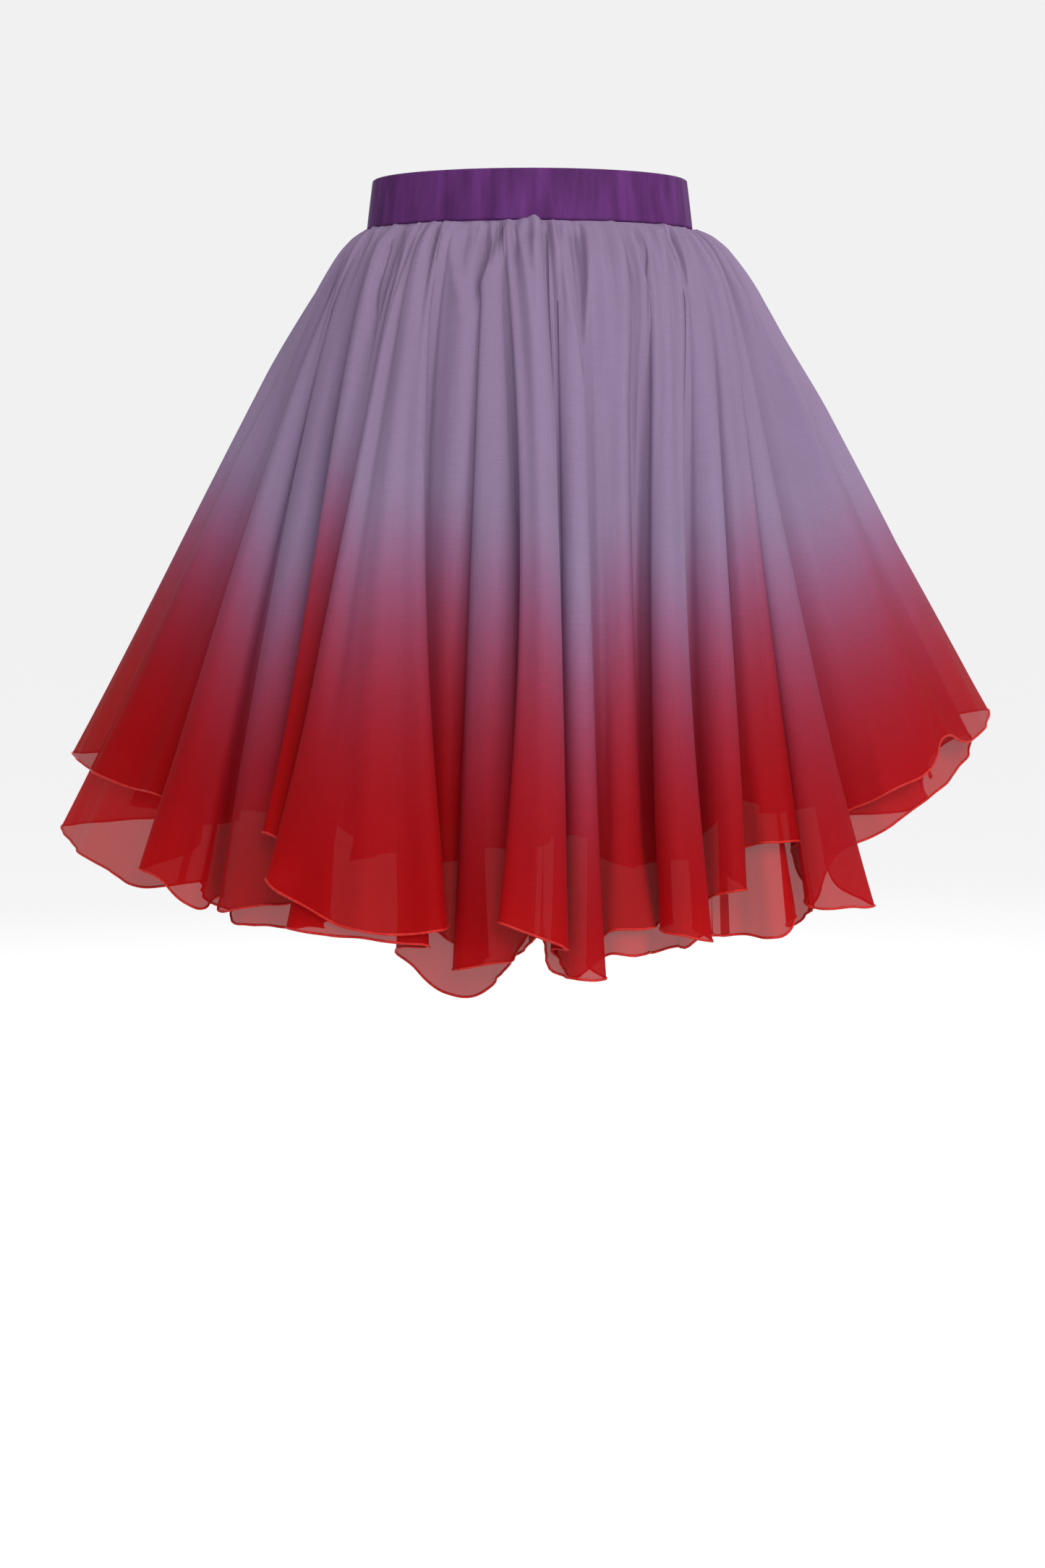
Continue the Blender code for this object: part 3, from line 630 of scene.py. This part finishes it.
def notches(cloth, places, shares):
    """How far the open tops of the tucks draw the cloth in, by rows and columns."""
    angle = cloth.waist_angle(places)[None, :]
    t = shares[:, None]
    rise = NOTCH_AT_BAND + (1 - NOTCH_AT_BAND) * smooth(t / NOTCH_FULL_AT)
    total = np.zeros((len(shares), len(places)))
    for n in NOTCHES:
        open_share = np.clip(1 - t / n.end, NOTCH_POINT, 1)
        away = np.abs((angle - n.angle + 180) % 360 - 180) / (n.half * open_share)
        lips = NOTCH_LIP * np.exp(-(((away - NOTCH_LIP_AT) / NOTCH_LIP_WIDTH) ** 2))
        profile = lips - np.exp(-(away**NOTCH_STEEPNESS))
        total += n.depth * profile * open_share**NOTCH_DEPTH_POWER * rise * (t < n.end)
    return total


def rounded(points):
    """The rows with the smallest bends evened out: the folds' edges are soft, and softer at the hem."""
    near_hem = smooth((ROW_SHARES - ROUNDING_FROM) / (1 - ROUNDING_FROM))
    passes = ROUNDING_PASSES + ROUNDING_AT_HEM * near_hem
    points = points.copy()
    for i in range(ROUNDING_PASSES + ROUNDING_AT_HEM):
        rows = points[np.searchsorted(passes, i + 0.5) :]
        for step in ROUNDING_STEPS:
            middle = (np.roll(rows, 1, axis=1) + np.roll(rows, -1, axis=1)) / 2
            rows += step * (middle - rows)
    return points


def back_creases():
    """The creases on each fold of the back. Troughs and ridges take turns."""
    rows = []
    plain, varies = BACK_CREASE, BACK_CREASE_VARIES
    for i in range(BACK_FOLDS):
        for j in range(BACK_CREASES):
            k = BACK_CREASES * i + j
            share = plain.share + BACK_CREASE_STEP * j + varies.share * math.sin(3.1 * k)
            drift = varies.drift * math.sin(k)
            start = plain.start + varies.start * abs(math.sin(1.7 * k + 0.4))
            end = plain.end + varies.end * abs(math.sin(2.3 * k))
            height = plain.height * (1 if k % 2 else -1) * (1 + varies.height * math.sin(5.3 * k))
            rows.append(Crease(f"back_{i:02d}", share, drift, start, end, plain.width, height))
    return rows


def creases(cloth, places, shares, points):
    """How far the creases lift the cloth, by rows and columns."""
    period = cloth.knots[-1]
    start_place = places[0]
    steps = np.linalg.norm(np.diff(points, axis=1, append=points[:, :1]), axis=2)
    along = np.concatenate([np.zeros((len(shares), 1)), np.cumsum(steps, axis=1)], axis=1)
    ends = np.append(places, start_place + period)
    total = np.zeros(points.shape[:2])
    for c in CREASES + back_creases():
        first, last = face_of(cloth, c.fold)
        for r, t in enumerate(shares):
            window = smooth((t - c.start) / CREASE_ENDS) * smooth((c.end - t) / CREASE_ENDS)
            if window <= 0:
                continue
            share = c.share + c.drift * (t - c.start)
            place = first + (last - first) * share
            place += period * math.ceil((start_place - place) / period)
            here = np.interp(place, ends, along[r])
            far = np.abs(along[r, :-1] - here)
            far = np.minimum(far, along[r, -1] - far)
            width = c.width * (CREASE_WIDTH_AT_BAND + CREASE_WIDENING * t)
            total[r] += c.height * window * np.exp(-((far / width) ** 2))
    return total


def longer(cloth, layer, places):
    """How long a layer is at each place, as a share of what its lines say."""
    period = cloth.knots[-1]
    total = np.ones(len(places))
    for fold, share, reach, more in HEM_DROPS[layer]:
        first, last = face_of(cloth, fold)
        away = (places - first - (last - first) * share + period / 2) % period - period / 2
        total += more * (1 - smooth(np.abs(away) / ((last - first) * reach)))
    return total


def crowns(cloth, places, shares, hem):
    """How far the middles of the folds' faces stand out, by rows and columns."""
    period = cloth.knots[-1]
    steps = np.linalg.norm(np.diff(hem, axis=0, append=hem[:1]), axis=1)
    total = np.zeros(len(places))
    for name in cloth.tucks:
        first, last = face_of(cloth, name)
        across = ((places - first) % period) / (last - first)
        inside = across < 1
        height = min(CROWN_SHARE * steps[inside].sum(), CROWN_LIMIT)
        total[inside] += height * np.sin(np.pi * across[inside])
    return total[None, :] * smooth((shares[:, None] - CROWN_FROM) / CROWN_OVER)


def face_of(cloth, fold):
    """Places of the left and right edges of a fold's face."""
    names = list(cloth.tucks)
    i = names.index(fold)
    first = cloth.tucks[names[i - 1]] + 2 if i else 0
    return cloth.knots[first], cloth.knots[cloth.tucks[fold] - 1]


def smooth(x):
    """0 up to 0, 1 from 1 on, and a soft step between them."""
    x = np.clip(x, 0, 1)
    return x * x * (3 - 2 * x)


def flutter(places, shares):
    """Slow waves of the free edge, which grow towards the hem."""
    grown = np.clip((shares[:, None] - FLUTTER_FROM) / (1 - FLUTTER_FROM), 0, 1) ** 2
    return FLUTTER_HEIGHT * slow_waves(places, FLUTTER_WAVES)[None, :] * grown


def dye_of(cloth, places, shares):
    """How red the cloth is, from 0 to 1, by rows and columns."""
    at, starts, fulls = [], [], []
    for name in cloth.tucks:
        first, last = face_of(cloth, name)
        start, full = DYES.get(name, BACK_DYE)
        for share in DYE_LEVEL:
            at.append(first + (last - first) * share)
            starts.append(start)
            fulls.append(full)
    period = cloth.knots[-1]
    order = np.argsort(at)
    at, starts, fulls = (np.array(v)[order] for v in (at, starts, fulls))
    u = places % period
    uneven = slow_waves(2 * math.pi * u / period, DYE_WAVES) * DYE_UNEVEN
    start = np.interp(u, at, starts, period=period) + uneven
    full = np.interp(u, at, fulls, period=period) + uneven * DYE_FULL_FOLLOWS
    soft = DYE_SOFT * (full - start)
    return smooth((shares[:, None] - start + soft) / (full - start + 2 * soft))


def new_mesh(name, points, faces, material, uv=None, dye=None):
    """A smooth piece of quads, with the cloth's own measures and the dye where they are given."""
    data = bpy.data.meshes.new(name)
    data.vertices.add(len(points))
    data.vertices.foreach_set("co", np.asarray(points, np.float32).ravel())
    faces = np.asarray(faces, np.int32)
    data.loops.add(faces.size)
    data.loops.foreach_set("vertex_index", faces.ravel())
    data.polygons.add(len(faces))
    data.polygons.foreach_set("loop_start", np.arange(len(faces), dtype=np.int32) * faces.shape[1])
    data.update(calc_edges=True)
    data.validate()
    if uv is not None:
        layer = data.uv_layers.new(name="Cloth")
        layer.data.foreach_set("uv", np.asarray(uv, np.float32)[faces.ravel()].ravel())
    if dye is not None:
        attribute = data.attributes.new("dye", "FLOAT", "POINT")
        attribute.data.foreach_set("value", np.asarray(dye, np.float32).ravel())
    data.shade_smooth()
    data.materials.append(material)
    piece = bpy.data.objects.new(name, data)
    bpy.context.scene.collection.objects.link(piece)
    return piece


def grid_faces(rows, columns):
    """Quads of a grid, with the outside towards the outward normal."""
    r, c = np.meshgrid(np.arange(rows - 1), np.arange(columns - 1), indexing="ij")
    a = (r * columns + c).ravel()
    return np.column_stack([a, a + columns, a + columns + 1, a + 1])


def roll(points, normals):
    """Points and faces of the small roll along a hem."""
    ahead = np.gradient(points, axis=0)
    ahead /= np.linalg.norm(ahead, axis=1, keepdims=True)
    across = np.cross(ahead, normals)
    sides = []
    for k in range(HEM_SIDES):
        angle = 2 * math.pi * k / HEM_SIDES
        sides.append(points + (normals * math.cos(angle) + across * math.sin(angle)) * HEM_ROLL)
    i, k = np.meshgrid(np.arange(len(points) - 1), np.arange(HEM_SIDES), indexing="ij")
    a = (i * HEM_SIDES + k).ravel()
    b = (i * HEM_SIDES + (k + 1) % HEM_SIDES).ravel()
    faces = np.column_stack([a, a + HEM_SIDES, b + HEM_SIDES, b])
    return np.stack(sides, axis=1).reshape(-1, 3), faces


def layer_form(cloth, layer, places):
    """Points and outward normals of a whole layer, as rows of columns."""
    reading = READINGS[layer]
    length = ROW_SHARES * reading.reach
    points = rounded(np.stack([row_points(cloth, layer, places, s) for s in ROW_SHARES]))
    lift = gathers(cloth, places, length)
    lift += creases(cloth, places, length, points) * reading.crease_height
    lift += notches(cloth, places, length)
    lift += crowns(cloth, places, ROW_SHARES, points[-1])
    lift += flutter(places, ROW_SHARES)
    puff = puffs(cloth, places, ROW_SHARES) * reading.puff_height
    lift += PUFF_OUT * puff
    points = points + surface_normals(points) * lift[:, :, None]
    points[:, :, 2] += PUFF_UP * puff
    return points, surface_normals(points)


def gore_pieces(name, part, normals, dye, material, hem_material):
    """The cloth of a gore, its rolled hem, and the seam allowance down one side."""
    rows, columns = part.shape[:2]
    across = distance_along(part[-1])
    down = np.cumsum(np.linalg.norm(np.diff(part, axis=0, prepend=part[:1]), axis=2), axis=0)
    uv = np.stack([np.broadcast_to(across, (rows, columns)), down], axis=-1).reshape(-1, 2)
    faces = grid_faces(rows, columns)
    sheet = new_mesh(f"{name}_cloth", part.reshape(-1, 3), faces, material, uv=uv, dye=dye)
    hem = new_mesh(f"{name}_hem", *roll(part[-1], normals[-1]), hem_material)
    sides = [0, SEAM_COLUMNS]
    strip = part[:, sides] - normals[:, sides] * SEAM_INSET
    faces = grid_faces(rows, len(sides))
    seam = new_mesh(f"{name}_seam", strip.reshape(-1, 3), faces, material, dye=dye[:, sides])
    return sheet, hem, seam


def layer_pieces(cloth, layer, material, hem_material):
    """The pieces of a layer's four gores, by the names of the gores."""
    places, cuts = ring_of_columns(cloth, layer)
    points, normals = layer_form(cloth, layer, places)
    dye = dye_of(cloth, places, ROW_SHARES * READINGS[layer].dye_reach)
    made = {}
    for gore, a, b in zip(GORES, cuts, cuts[1:]):
        take = np.arange(a, b + 1) % len(places)
        form = (points[:, take], normals[:, take], dye[:, take])
        name = f"{layer}_{gore}"
        made[name] = gore_pieces(name, *form, material, hem_material)
    return made


def band_edge(side):
    """A rounded edge of the band in profile: the top one for 1, and the lower one for -1."""
    rows = []
    for k in range(1, BAND_EDGE_STEPS):
        out = BAND_WALL / 2 - BAND_WALL * k / BAND_EDGE_STEPS
        z = BAND_HEIGHT / 2 - BAND_EDGE_ROUND * (1 - math.sin(math.pi * k / BAND_EDGE_STEPS))
        rows.append((side * out, side * z, 0.0))
    return rows


def band_piece(material):
    """A ring of satin drawn in over elastic, with soft upright puckers."""
    turn = np.linspace(0, 2 * math.pi, BAND_COLUMNS, endpoint=False)
    pucker = sum(0.5 * np.sin(bunched(turn, *wave)) for wave in PUCKERS)
    half = BAND_WALL / 2
    top = BAND_HEIGHT / 2
    flat = BAND_HEIGHT - 2 * BAND_EDGE_ROUND
    outside, inside = [], []
    for k in range(BAND_OUTSIDE_STEPS + 1):
        z = -top + BAND_EDGE_ROUND + flat * k / BAND_OUTSIDE_STEPS
        outside.append((half, z, math.sin(math.pi * k / BAND_OUTSIDE_STEPS) ** 0.5))
    for k in range(BAND_INSIDE_STEPS + 1):
        inside.append((-half, top - BAND_EDGE_ROUND - flat * k / BAND_INSIDE_STEPS, 0.0))
    points = []
    for out, z, share in outside + band_edge(1) + inside + band_edge(-1):
        lift = PUCKER_HEIGHT * pucker * share
        grow = out - BAND_SET_IN - BAND_LEAN * (z + top) / BAND_HEIGHT + lift
        x = (WAIST_HALF_WIDTH + grow) * np.sin(turn)
        y = -(WAIST_HALF_DEPTH + grow) * np.cos(turn)
        points.append(np.column_stack([x, y, np.full(BAND_COLUMNS, z)]))
    a = np.arange(BAND_COLUMNS)
    b = (a + 1) % BAND_COLUMNS
    faces = []
    for j in range(len(points)):
        low, high = j * BAND_COLUMNS, (j + 1) % len(points) * BAND_COLUMNS
        faces.append(np.column_stack([low + a, low + b, high + b, high + a]))
    return new_mesh("waistband_satin", np.concatenate(points), np.concatenate(faces), material)


def set_inputs(made, inputs):
    """Sets a node's inputs by their names, with _ for a space."""
    for name, value in inputs.items():
        made.inputs[name.replace("_", " ")].default_value = value


def node(tree, kind, **inputs):
    """A new node, with inputs set."""
    made = tree.nodes.new(kind)
    set_inputs(made, inputs)
    return made


def new_material(name, **inputs):
    """A material, its node tree and its shader, with the shader's inputs set."""
    material = bpy.data.materials.new(name)
    material.use_nodes = True
    shader = material.node_tree.nodes["Principled BSDF"]
    set_inputs(shader, inputs)
    return material, material.node_tree, shader


def ramp_color(tree, value, stops):
    """The colour that a value picks from a ramp, which is given as places and colours."""
    colors = tree.nodes.new("ShaderNodeValToRGB")
    elements = colors.color_ramp.elements
    while len(elements) < len(stops):
        elements.new(0.5)
    for element, (at, color) in zip(elements, stops):
        element.position = at
        element.color = (*color, 1.0)
    tree.links.new(value, colors.inputs["Fac"])
    return colors.outputs["Color"]


def uneven_color(tree, color, noise, change):
    """The colour made lighter and darker by noise, by up to a share."""
    shade = node(tree, "ShaderNodeMapRange", To_Min=1 - change, To_Max=1 + change)
    tree.links.new(noise.outputs["Fac"], shade.inputs["Value"])
    mix = tree.nodes.new("ShaderNodeMix")
    mix.data_type = "RGBA"
    mix.blend_type = "MULTIPLY"
    mix.inputs["Factor"].default_value = 1.0
    tree.links.new(color, mix.inputs["A"])
    tree.links.new(shade.outputs["Result"], mix.inputs["B"])
    return mix.outputs["Result"]


def relief(tree, shader, height, **inputs):
    """Fine relief of a shader's surface."""
    bump = node(tree, "ShaderNodeBump", **inputs)
    tree.links.new(height, bump.inputs["Height"])
    tree.links.new(bump.outputs["Normal"], shader.inputs["Normal"])


def mix_shaders(tree, share, first, second):
    mix = node(tree, "ShaderNodeMixShader", Fac=share)
    tree.links.new(first, mix.inputs[1])
    tree.links.new(second, mix.inputs[2])
    return mix.outputs["Shader"]


def organza(name, ramp):
    """Sheer dyed cloth: the dye attribute picks the colour, and two fine waves are the threads."""
    looks = {"Roughness": 0.62, "Sheen Weight": 0.012, "Sheen Roughness": 0.4, "Specular IOR Level": 0.05}
    material, tree, shader = new_material(name, **looks)
    link = tree.links.new
    dye = tree.nodes.new("ShaderNodeAttribute")
    dye.attribute_name = "dye"
    where = tree.nodes.new("ShaderNodeTexCoord")
    cloud = node(tree, "ShaderNodeTexNoise", Scale=CLOUD_SCALE, Detail=4.0, Roughness=0.6)
    link(where.outputs["Object"], cloud.inputs["Vector"])
    color = uneven_color(tree, ramp_color(tree, dye.outputs["Fac"], ramp), cloud, CLOUD_SHADE)
    for slub_scale in SLUB_SCALES:
        stretch = node(tree, "ShaderNodeMapping", Scale=(*slub_scale, 1.0))
        link(where.outputs["UV"], stretch.inputs["Vector"])
        slubs = node(tree, "ShaderNodeTexNoise", Scale=1.0, Detail=2.0, Roughness=0.6)
        link(stretch.outputs["Vector"], slubs.inputs["Vector"])
        color = uneven_color(tree, color, slubs, SLUB_SHADE)
    link(color, shader.inputs["Base Color"])
    both = node(tree, "ShaderNodeMath")
    both.operation = "ADD"
    for axis, term in zip(("X", "Y"), both.inputs):
        wave = node(tree, "ShaderNodeTexWave", Scale=THREAD_SCALE, Distortion=1.5, Detail=1.0)
        wave.bands_direction = axis
        link(where.outputs["UV"], wave.inputs["Vector"])
        link(wave.outputs["Fac"], term)
    relief(tree, shader, both.outputs["Value"], Strength=0.08, Distance=THREAD_RELIEF)
    through = tree.nodes.new("ShaderNodeBsdfTranslucent")
    link(color, through.inputs["Color"])
    cloth = mix_shaders(tree, LET_THROUGH, shader.outputs["BSDF"], through.outputs["BSDF"])
    holes = tree.nodes.new("ShaderNodeBsdfTransparent")
    sheer = mix_shaders(tree, OPACITY, holes.outputs["BSDF"], cloth)
    link(sheer, tree.nodes["Material Output"].inputs["Surface"])
    return material


def noise_material(name, looks, noise, stops, depth, stretch=None):
    """A material whose colour and relief both follow one noise."""
    material, tree, shader = new_material(name, **looks)
    link = tree.links.new
    where = tree.nodes.new("ShaderNodeTexCoord").outputs["Object"]
    if stretch:
        scaled = node(tree, "ShaderNodeMapping", Scale=(1.0, 1.0, stretch))
        link(where, scaled.inputs["Vector"])
        where = scaled.outputs["Vector"]
    pattern = node(tree, "ShaderNodeTexNoise", **noise)
    link(where, pattern.inputs["Vector"])
    link(ramp_color(tree, pattern.outputs["Fac"], stops), shader.inputs["Base Color"])
    relief(tree, shader, pattern.outputs["Fac"], **depth)
    return material


def thread_material():
    """Bright satin thread sewn closely over the rolled edge."""
    looks = {"Roughness": 0.45, "Specular IOR Level": 0.15}
    noise = {"Scale": 420.0, "Detail": 2.0}
    depth = {"Strength": 0.4, "Distance": 0.0003}
    return noise_material("hem_thread", looks, noise, THREAD_COLORS, depth)


def satin_material():
    """Deep purple satin, with painted sheen and shade in soft upright streaks, as on cloth drawn in over
    elastic.
    """
    looks = {"Roughness": 0.55, "Specular IOR Level": 0.02}
    noise = {"Scale": 90.0, "Detail": 4.0, "Roughness": 0.55}
    depth = {"Strength": 0.15, "Distance": 0.0006}
    return noise_material("band_satin", looks, noise, SATIN_SHADE_AND_SHEEN_COLORS, depth, SHEEN_STREAK_STRETCH)


def area_light(name, place, size, power, color):
    """A square lamp that faces LIT_PLACE."""
    data = bpy.data.lights.new(name, "AREA")
    data.size = size
    data.energy = power
    data.color = color
    lamp = bpy.data.objects.new(name, data)
    lamp.location = place
    lamp.rotation_euler = (Vector(LIT_PLACE) - Vector(place)).to_track_quat("-Z", "Y").to_euler()
    bpy.context.scene.collection.objects.link(lamp)


def pale_floor():
    """A round floor of one face."""
    turns = [2 * math.pi * k / FLOOR_SIDES for k in range(FLOOR_SIDES)]
    rim = [(FLOOR_RADIUS * math.cos(turn), FLOOR_RADIUS * math.sin(turn), FLOOR_Z) for turn in turns]
    data = bpy.data.meshes.new("floor")
    data.from_pydata(rim, [], [list(range(FLOOR_SIDES))])
    glow = {"Emission Color": (1.0, 1.0, 1.01, 1), "Emission Strength": FLOOR_GLOW}
    looks = {"Base Color": FLOOR_COLOR, "Roughness": 1.0, "Specular IOR Level": 0.0}
    data.materials.append(new_material("pale_floor", **looks, **glow)[0])
    floor = bpy.data.objects.new("floor", data)
    bpy.context.scene.collection.objects.link(floor)
    return floor


def studio():
    """Pale floor, soft lights and the camera of the photograph."""
    scene = bpy.context.scene
    scene.view_settings.view_transform = "Standard"
    floor = pale_floor()
    world = bpy.data.worlds.new("studio")
    scene.world = world
    world.use_nodes = True
    set_inputs(world.node_tree.nodes["Background"], {"Color": WORLD_COLOR, "Strength": 1.0})
    for light in LIGHTS:
        area_light(*light)
    lens = bpy.data.cameras.new("camera")
    lens.sensor_fit = "VERTICAL"
    lens.sensor_height = CAMERA_SENSOR
    lens.lens = CAMERA_LENS
    camera = bpy.data.objects.new("camera", lens)
    camera.location = CAMERA_PLACE
    camera.rotation_euler = (math.radians(90 - CAMERA_DOWN), 0, 0)
    scene.collection.objects.link(camera)
    scene.camera = camera


def dye_ramp():
    """Places and colours of the dye's stops, from the undyed cloth to the full red."""
    stops = []
    for at in np.linspace(0, 1, DYE_STOPS):
        channels = zip(LILAC, RED, DYE_POWERS)
        stops.append((at, [pale * (full / pale) ** at**power for pale, full, power in channels]))
    return stops


def main():
    cloth = Cloth()
    ramp = dye_ramp()
    upper = organza("upper_organza_cloth", ramp)
    lower = organza("lower_organza_cloth", ramp)
    thread = thread_material()
    satin = satin_material()
    band = band_piece(satin)
    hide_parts("waistband")
    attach(band, "root")
    for layer, material, slot in (("outer", upper, "upper_organza"), ("under", lower, "lower_organza")):
        for name, (sheet, hem, seam) in layer_pieces(cloth, layer, material, thread).items():
            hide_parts(name)
            for piece in (sheet, hem, seam):
                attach(piece, "root")
    studio()
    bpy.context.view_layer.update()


main()
